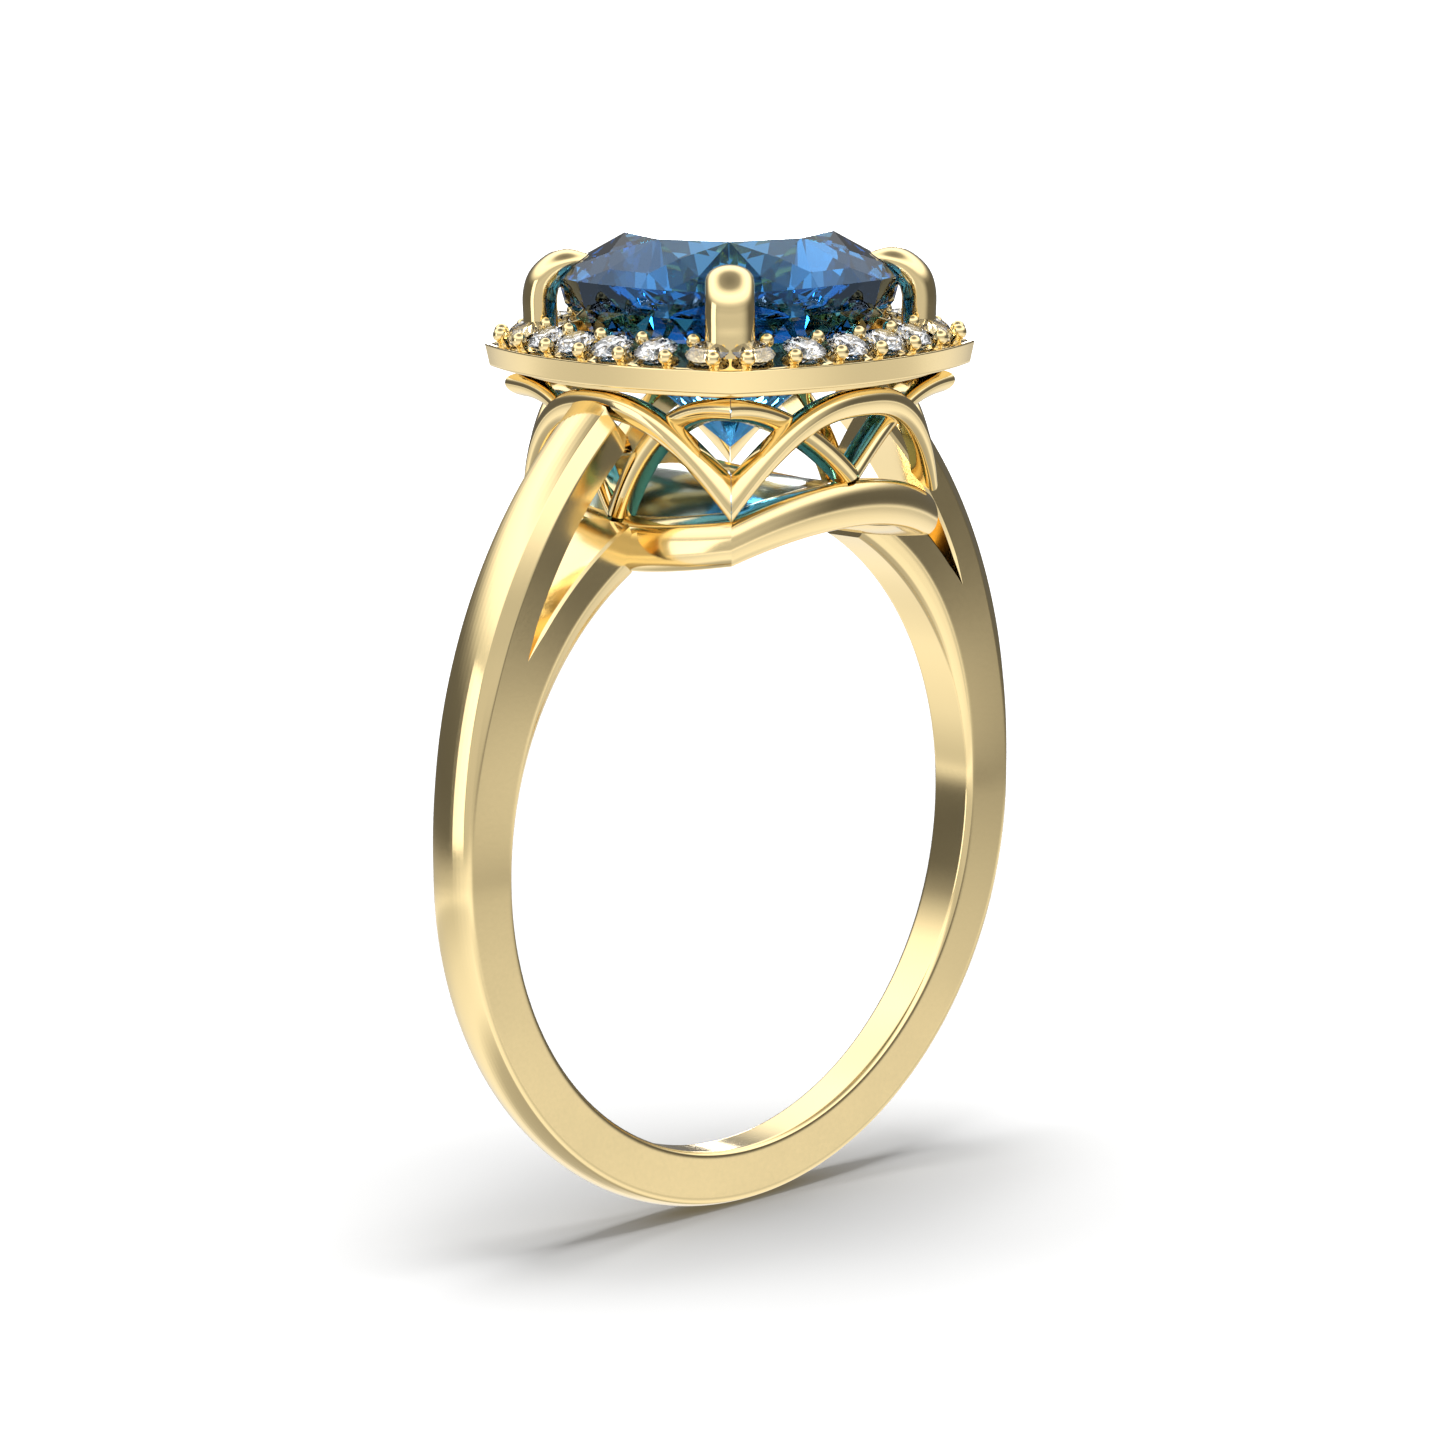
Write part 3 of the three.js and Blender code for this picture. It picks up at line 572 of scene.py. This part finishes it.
def copies_round_head():
    """Geometry nodes: equal turned copies of one side's wire round the head's axis."""
    tree = bpy.data.node_groups.new("copies_round_head", "GeometryNodeTree")
    tree.interface.new_socket("Geometry", in_out="INPUT", socket_type="NodeSocketGeometry")
    tree.interface.new_socket("Copies", in_out="INPUT", socket_type="NodeSocketInt")
    tree.interface.new_socket("Start angle", in_out="INPUT", socket_type="NodeSocketFloat")
    tree.interface.new_socket("Metal", in_out="INPUT", socket_type="NodeSocketMaterial")
    tree.interface.new_socket("Geometry", in_out="OUTPUT", socket_type="NodeSocketGeometry")
    nodes, links = tree.nodes, tree.links
    given, out = nodes.new("NodeGroupInput"), nodes.new("NodeGroupOutput")
    points = nodes.new("GeometryNodePoints")
    links.new(given.outputs["Copies"], points.inputs["Count"])
    index = nodes.new("GeometryNodeInputIndex")
    step = nodes.new("ShaderNodeMath")
    step.operation = "DIVIDE"
    step.inputs[0].default_value = 2 * math.pi
    links.new(given.outputs["Copies"], step.inputs[1])
    angle = nodes.new("ShaderNodeMath")
    angle.operation = "MULTIPLY_ADD"
    links.new(index.outputs[0], angle.inputs[0])
    links.new(step.outputs[0], angle.inputs[1])
    links.new(given.outputs["Start angle"], angle.inputs[2])
    turn = nodes.new("ShaderNodeCombineXYZ")
    links.new(angle.outputs[0], turn.inputs["Z"])
    place = nodes.new("GeometryNodeInstanceOnPoints")
    links.new(points.outputs[0], place.inputs["Points"])
    links.new(given.outputs["Geometry"], place.inputs["Instance"])
    links.new(turn.outputs[0], place.inputs["Rotation"])
    real = nodes.new("GeometryNodeRealizeInstances")
    paint = nodes.new("GeometryNodeSetMaterial")
    links.new(place.outputs[0], real.inputs[0])
    links.new(real.outputs[0], paint.inputs["Geometry"])
    links.new(given.outputs["Metal"], paint.inputs["Material"])
    links.new(paint.outputs[0], out.inputs[0])
    return tree


def keep_result(piece, modifier):
    """Keeps a modifier's result as the piece's plain mesh."""
    bpy.context.view_layer.update()
    ready = piece.evaluated_get(bpy.context.evaluated_depsgraph_get())
    mesh = bpy.data.meshes.new_from_object(ready)
    piece.modifiers.remove(modifier)
    piece.data = mesh


def made_by_nodes(piece, tree, values):
    """Runs a node tree on a piece with named inputs, and keeps its result as a plain mesh."""
    modifier = piece.modifiers.new(tree.name, "NODES")
    modifier.node_group = tree
    for item in tree.interface.items_tree:
        if item.in_out == "INPUT" and item.name in values:
            modifier[item.identifier] = values[item.name]
    keep_result(piece, modifier)


def turned_copies(piece, count, start, metal, nodes):
    """Equal copies round the head's axis, set in place as one piece."""
    made_by_nodes(piece, copies, {"Copies": count, "Start angle": start, "Metal": metal})
    set_in_place(piece, None, nodes)


setting_gold = polished_gold("setting_gold", 14, 0.06, 0.12, 0.0008)
copies = copies_round_head()
turned_copies(side_wire, 4, 0.0, setting_gold, [f"side_arch_{i}" for i in range(1, 5)])
turned_copies(open_side, 2, 0.0, setting_gold, ["corner_arch_1", "corner_arch_3"])
turned_copies(band_side, 2, math.pi / 2, setting_gold, ["corner_arch_2", "corner_arch_4"])


# ------------------------------------------------------------------ halo plate
# A cushion-shaped gold frame, canted outwards and drilled with one cone-shaped seat per small
# stone, bright cut and rhodium plated. Its plain drafted outer wall has a thin lip on top.
halo_overhang = 0.525
halo_bulge = 1.08
halo_low = 3.91
halo_wall = 0.6
halo_lip = 0.1
halo_w = 1.42
halo_cant = math.radians(22)
halo_corner = stone_half + halo_overhang
stones_per_side = 6
small_stone_r = 0.575
stone_inset = 0.66
stone_lift = 0.15
end_stone_along = 3.368
stone_pitch = 2 * end_stone_along / (stones_per_side - 1)
halo_top = halo_low + halo_wall
halo_sink = 0.045
halo_side_steps = 30
ledge = 3.73


def cant_rise(inset):
    return (inset - halo_lip) * math.tan(halo_cant)


plate_bm = bmesh.new()
plate_line = softened(
    [
        (0.56, halo_low - 0.002),
        (0.09, halo_low),
        (0, halo_top),
        (halo_lip, halo_top + 0.005),
        (0.155, halo_top - halo_sink),
        (0.23, halo_top + cant_rise(0.23) - halo_sink),
        (halo_w - 0.12, halo_top + cant_rise(halo_w - 0.12) - halo_sink),
        (halo_w, halo_top + cant_rise(halo_w) - 0.08),
        (halo_w, halo_low + 0.3),
        (halo_w - 0.25, ledge),
        (0.62, ledge),
        (0.56, halo_low + 0.04),
    ],
    [0.05, 0.035, 0.03, 0.03, 0.03, 0.05, 0.05, 0.08, 0.05, 0.03],
    4,
)
plate_rings = []
for side in range(4):
    for i in range(halo_side_steps):
        share = mix(-1, 1, i / halo_side_steps)
        ring = []
        for inset, z in plate_line:
            ring.append(head_base + cushion_point(side, share, halo_corner - inset, halo_bulge, z))
        plate_rings.append(ring)
add_skin(plate_bm, plate_rings, loop=True)
plate = finished_mesh("halo_frame", plate_bm, 24)


def round_halo():
    """Geometry nodes: sets copies of a stone or bead along the four canted sides of the halo."""
    tree = bpy.data.node_groups.new("round_halo", "GeometryNodeTree")
    add_in = lambda name, kind: tree.interface.new_socket(name, in_out="INPUT", socket_type=kind)
    add_in("Geometry", "NodeSocketGeometry")
    add_in("Per side", "NodeSocketInt")
    for name in ("Pitch", "Reach", "Corner", "Bulge", "Height", "Cant"):
        add_in(name, "NodeSocketFloat")
    add_in("Material", "NodeSocketMaterial")
    tree.interface.new_socket("Geometry", in_out="OUTPUT", socket_type="NodeSocketGeometry")
    nodes, links = tree.nodes, tree.links
    given, out = nodes.new("NodeGroupInput"), nodes.new("NodeGroupOutput")

    def sum_of(kind, *values):
        node = nodes.new("ShaderNodeMath")
        node.operation = kind
        for socket, value in zip(node.inputs, values):
            if isinstance(value, (int, float)):
                socket.default_value = value
            else:
                links.new(value, socket)
        return node.outputs[0]

    per_side = given.outputs["Per side"]
    index = nodes.new("GeometryNodeInputIndex").outputs[0]
    side = sum_of("FLOOR", sum_of("DIVIDE", index, per_side))
    place_no = sum_of("SUBTRACT", index, sum_of("MULTIPLY", side, per_side))
    middle = sum_of("MULTIPLY", sum_of("SUBTRACT", per_side, 1), 0.5)
    free = sum_of("MULTIPLY", sum_of("SUBTRACT", place_no, middle), given.outputs["Pitch"])
    reach_in = given.outputs["Reach"]
    along = sum_of("MAXIMUM", sum_of("MINIMUM", free, reach_in), sum_of("MULTIPLY", reach_in, -1))
    share = sum_of("DIVIDE", along, given.outputs["Corner"])
    fall = sum_of("SUBTRACT", 1, sum_of("MULTIPLY", share, share))
    bow = sum_of("MULTIPLY", given.outputs["Bulge"], fall)
    out_y = sum_of("MULTIPLY", sum_of("ADD", given.outputs["Corner"], bow), -1)
    spot = nodes.new("ShaderNodeCombineXYZ")
    links.new(along, spot.inputs["X"])
    links.new(out_y, spot.inputs["Y"])
    links.new(given.outputs["Height"], spot.inputs["Z"])
    quarter = sum_of("MULTIPLY", side, math.pi / 2)
    turned = nodes.new("ShaderNodeVectorRotate")
    turned.rotation_type = "Z_AXIS"
    links.new(spot.outputs[0], turned.inputs["Vector"])
    links.new(quarter, turned.inputs["Angle"])
    double_bulge = sum_of("MULTIPLY", given.outputs["Bulge"], 2)
    steep = sum_of("DIVIDE", sum_of("MULTIPLY", double_bulge, share), given.outputs["Corner"])
    lean = nodes.new("ShaderNodeCombineXYZ")
    links.new(given.outputs["Cant"], lean.inputs["X"])
    links.new(sum_of("ADD", quarter, sum_of("ARCTANGENT", steep)), lean.inputs["Z"])
    points = nodes.new("GeometryNodePoints")
    links.new(sum_of("MULTIPLY", per_side, 4), points.inputs["Count"])
    links.new(turned.outputs[0], points.inputs["Position"])
    place = nodes.new("GeometryNodeInstanceOnPoints")
    links.new(points.outputs[0], place.inputs["Points"])
    links.new(given.outputs["Geometry"], place.inputs["Instance"])
    links.new(lean.outputs[0], place.inputs["Rotation"])
    real, paint = nodes.new("GeometryNodeRealizeInstances"), nodes.new("GeometryNodeSetMaterial")
    links.new(place.outputs[0], real.inputs[0])
    links.new(real.outputs[0], paint.inputs["Geometry"])
    links.new(given.outputs["Material"], paint.inputs["Material"])
    links.new(paint.outputs[0], out.inputs[0])
    return tree


halo_tree = round_halo()


def set_round_halo(piece, material, per_side, inset, lift, reach=99.0):
    """Copies along the halo's sides; none stands further than `reach` from a side's middle."""
    made_by_nodes(
        piece,
        halo_tree,
        {
            "Per side": per_side,
            "Pitch": stone_pitch * MM,
            "Reach": reach * MM,
            "Corner": (halo_corner - inset) * MM,
            "Bulge": halo_bulge * MM,
            "Height": (head_base.z + halo_top + cant_rise(inset) + lift) * MM,
            "Cant": halo_cant,
            "Material": material,
        },
    )


def tier(count, offset, radius, z):
    """Evenly spaced points round an upright axis; the offset is a share of one step."""
    turns = [2 * math.pi * (k + offset) / count for k in range(count)]
    return [(radius * math.cos(a), radius * math.sin(a), z) for a in turns]


def turned_profile(name, profile, count, crease=32):
    """A closed round body from (radius, height) points, with poles on its axis."""
    bm = bmesh.new()
    add_skin(bm, [tier(count, 0, radius, z) for radius, z in profile], caps=(True, True))
    return finished_mesh(name, bm, crease)


def cut_away(piece, cutter):
    """Takes the cutter's closed shape out of the piece and drops the cutter."""
    modifier = piece.modifiers.new("seat", "BOOLEAN")
    modifier.operation = "DIFFERENCE"
    modifier.solver = "MANIFOLD"
    modifier.material_mode = "TRANSFER"
    modifier.object = cutter
    keep_result(piece, modifier)
    bpy.data.objects.remove(cutter)


seat_r = small_stone_r + 0.02
seat_profile = [(0.12, -0.75), (0.14, -0.44), (seat_r, -0.03), (seat_r, 0.6)]
seats = turned_profile("seat_cutter", seat_profile, 40)
rhodium_tones = ((0.93, 0.94, 0.95), (0.96, 0.96, 0.95))
bright_cut = polished_gold("bright_cut_seat", 14, 0.1, 0.2, 0.001, rhodium_tones)
set_round_halo(seats, bright_cut, stones_per_side, stone_inset, stone_lift)
plate.data.materials.append(setting_gold)
cut_away(plate, seats)
set_in_place(plate, None, ["halo_plate"])


# ------------------------------------------------------------------ beads
# Small round-topped grains raised from the halo between the stones, seven along the outer edge
# and five along the inner edge of each side. Each grain laps over the girdles of two stones.
bead_r = 0.2
bead_h = 0.43
bead_offset = 0.4
outer_per_side, inner_per_side = 7, 5


def bead(name, height):
    turns = [math.radians(-48 + 138 * k / 14) for k in range(14)]
    ball = [(bead_r * math.cos(a), height - bead_r + bead_r * math.sin(a)) for a in turns]
    root = [(0.2, -0.16), (0.14, 0.0)]
    return turned_profile(name, root + ball + [(0.005, height)], 24, crease=75)


outer_beads = bead("outer_beads", bead_h)
end_bead_along = 3 * stone_pitch - 0.12
set_round_halo(outer_beads, setting_gold, outer_per_side, stone_inset - bead_offset, 0, end_bead_along)
inner_beads = bead("inner_beads", bead_h)
set_round_halo(inner_beads, setting_gold, inner_per_side, stone_inset + bead_offset, 0)
for grains in (outer_beads, inner_beads):
    for face in grains.data.polygons:
        face.use_smooth = True
    set_in_place(grains, None, ["halo_plate"])


# ------------------------------------------------------------------ small round stones
# Twenty-four round brilliants, about 1.15 mm across, six along each canted side of the halo.
# Each has a table, stars, kites, upper and lower halves and eight long pavilion mains.
def hull_of(name, points):
    """A faceted stone: the hull of its corner points, with flat facets merged."""
    bm = bmesh.new()
    for point in points:
        bm.verts.new(Vector(point) * MM)
    hull = bmesh.ops.convex_hull(bm, input=bm.verts)
    left_over = hull["geom_interior"] + hull["geom_unused"]
    spare = {part for part in left_over if isinstance(part, bmesh.types.BMVert)}
    bmesh.ops.delete(bm, geom=list(spare), context="VERTS")
    bmesh.ops.dissolve_limit(bm, angle_limit=math.radians(1.2), verts=bm.verts, edges=bm.edges)
    bmesh.ops.recalc_face_normals(bm, faces=bm.faces)
    mesh = bpy.data.meshes.new(name)
    bm.to_mesh(mesh)
    bm.free()
    piece = bpy.data.objects.new(name, mesh)
    bpy.context.scene.collection.objects.link(piece)
    return piece


r = small_stone_r
thin, pavilion, lower_half = 0.015, 0.825, 0.25
brilliant = (
    tier(8, 0, 0.56 * r, 0.31 * r)
    + tier(8, 0.5, 0.78 * r, 0.2023 * r)
    + tier(16, 0, r, thin * r)
    + tier(16, 0, r, -thin * r)
    + tier(8, 0.5, lower_half * r, -(thin + pavilion * (1 - lower_half * math.cos(math.pi / 8))) * r)
    + [(0, 0, -(thin + pavilion) * r)]
)
small_stones = hull_of("small_round_stones", brilliant)


def clear_gem(name, ior, tints, scale):
    """Clear cut stone: glass with a faint drift between two tints through the body."""
    gem = bpy.data.materials.new(name)
    gem.use_nodes = True
    nodes, links = gem.node_tree.nodes, gem.node_tree.links
    shader = nodes["Principled BSDF"]
    shader.inputs["Transmission Weight"].default_value = 1
    shader.inputs["IOR"].default_value = ior
    shader.inputs["Roughness"].default_value = 0
    where = nodes.new("ShaderNodeTexCoord")
    drift = nodes.new("ShaderNodeTexNoise")
    drift.inputs["Scale"].default_value = scale
    drift.inputs["Detail"].default_value = 1
    links.new(where.outputs["Object"], drift.inputs["Vector"])
    tone = nodes.new("ShaderNodeMix")
    tone.data_type = "RGBA"
    tone.inputs["A"].default_value = (*tints[0], 1)
    tone.inputs["B"].default_value = (*tints[1], 1)
    links.new(drift.outputs["Fac"], tone.inputs["Factor"])
    links.new(tone.outputs["Result"], shader.inputs["Base Color"])
    return gem


white_stone = clear_gem("white_stone", 2.42, [(0.98, 0.985, 1.0), (1.0, 1.0, 1.0)], 300)
set_round_halo(small_stones, white_stone, stones_per_side, stone_inset, stone_lift)
set_in_place(small_stones, None, [f"melee_{i:02d}" for i in range(1, 25)])


# ------------------------------------------------------------------ centre stone
# One cushion-cut London-blue topaz, 8.1 mm across, with a modified brilliant pavilion. It stands
# inside the halo with its girdle held under the four claws.
table_z = 7.43
table_r = 2.65
girdle_z = 6.31
girdle_t = 0.12
culet_z = 1.71


def cushion_r(angle, half):
    """Radius of the stone's outline: a superellipse, rounder at its corners than a square."""
    n = 3
    return half / (abs(math.cos(angle)) ** n + abs(math.sin(angle)) ** n) ** (1 / n)


def stone_points(grow=0.0):
    """Corner points of the stone's facets, tier by tier, or of a seat that is larger by `grow`."""
    crown = table_z - girdle_z
    base = girdle_z - girdle_t
    half = stone_half + grow
    rings = [
        (8, 0, table_r / stone_half, table_z + grow, 0.7),
        (8, 0.5, 0.79, table_z - crown * 0.35 + grow, 0),
        (16, 0.5, 0.915, table_z - crown * 0.68 + grow, 0),
        (32, 0, 1, girdle_z + grow, 0),
        (32, 0, 0.992, base - grow, 0),
        (16, 0, 0.955, base - 0.62 - grow, 0),
        (16, 0.5, 0.8, base - 1.45 - grow, 0),
        (8, 0, 0.5, base - 2.6 - grow, 0),
    ]
    points = [head_base + Vector((0, 0, culet_z - grow))]
    for count, offset, size, z, roundness in rings:
        for k in range(count):
            a = 2 * math.pi * (k + offset) / count
            radius = mix(cushion_r(a, half), half, roundness) * size
            points.append(head_base + Vector((radius * math.cos(a), radius * math.sin(a), z)))
    return points


blue_topaz = clear_gem("blue_topaz", 1.62, [(0.3, 0.52, 0.82), (0.2, 0.62, 0.74)], 160)
nodes, links = blue_topaz.node_tree.nodes, blue_topaz.node_tree.links
nodes["Principled BSDF"].inputs["Specular Tint"].default_value = (0.3, 0.58, 1, 1)
body = nodes.new("ShaderNodeVolumeAbsorption")
body.inputs["Color"].default_value = (0.0, 0.49, 0.79, 1)
body.inputs["Density"].default_value = 190
links.new(body.outputs[0], nodes["Material Output"].inputs["Volume"])
centre = hull_of("centre_cushion_stone", stone_points())
set_in_place(centre, blue_topaz, ["centre_stone"])


# ------------------------------------------------------------------ claw prongs
# Four gold claws on the diagonals. Each stands in a socket in the halo, leans out past the
# stone's corner, has a notch filed for the girdle, and is bent in over the crown to a round tip.
prong_out = 0.424
prong_w = 1.29
prong_depth = 0.92
prong_foot = 4.29
prong_top = 7.02
prong_reach = 1.45
notch_gap = 0.012
claw_steps, claw_points = 40, 32


def smooth_path(knots, count):
    """Evenly spaced points and tangents on a Catmull-Rom curve in the plane of the claw."""
    knots = [Vector(k) for k in knots]
    line = [knots[0] * 2 - knots[1]] + knots + [knots[-1] * 2 - knots[-2]]
    dense = []
    for a, b, c, d in zip(line, line[1:], line[2:], line[3:]):
        for i in range(24):
            t = i / 24
            bow, twist = 2 * a - 5 * b + 4 * c - d, 3 * b - a - 3 * c + d
            dense.append(0.5 * ((2 * b) + (c - a) * t + bow * t * t + twist * t**3))
    dense.append(knots[-1])
    lengths = [0.0]
    for p, q in zip(dense, dense[1:]):
        lengths.append(lengths[-1] + (q - p).length)
    found, k = [], 0
    for i in range(count + 1):
        goal = lengths[-1] * i / count
        while k < len(lengths) - 2 and lengths[k + 1] < goal:
            k += 1
        share = (goal - lengths[k]) / (lengths[k + 1] - lengths[k])
        found.append((dense[k].lerp(dense[k + 1], share), (dense[k + 1] - dense[k]).normalized()))
    return found


run = cushion_r(math.pi / 4, stone_half) + prong_out
bend = prong_top - prong_depth / 2
knots = [
    (run, prong_foot),
    (run + 0.02, mix(prong_foot, bend, 0.4)),
    (run + 0.02, mix(prong_foot, bend, 0.68)),
    (run - 0.16, bend - 0.28),
    (run - prong_reach * 0.45, bend + 0.08),
    (run - prong_reach, bend + 0.12),
]
claw_bm = bmesh.new()
claw_rings = []
for i, (middle, tangent) in enumerate(smooth_path(knots, claw_steps)):
    share = i / claw_steps
    tip = math.sqrt(max(1 - ease(share, 0.62, 1.02) ** 2, 0.012))
    half = prong_w / 2 * tip
    deep = prong_depth / 2 * mix(1, tip, 0.8) * mix(1, 0.72, ease(share, 0.5, 1))
    ring = []
    for k in range(claw_points):
        a = 2 * math.pi * k / claw_points
        out_by, along = deep * math.cos(a), half * math.sin(a)
        local = Vector((middle.x + tangent.y * out_by, along, middle.y - tangent.x * out_by))
        ring.append(head_base + Matrix.Rotation(math.pi / 4, 3, "Z") @ local)
    claw_rings.append(ring)
add_skin(claw_bm, claw_rings, caps=(True, True))
claws = finished_mesh("claw_prongs", claw_bm, 60)
cut_away(claws, hull_of("stone_cutter", stone_points(notch_gap)))
turned_copies(claws, 4, 0.0, setting_gold, [f"prong_{i}" for i in range(1, 5)])
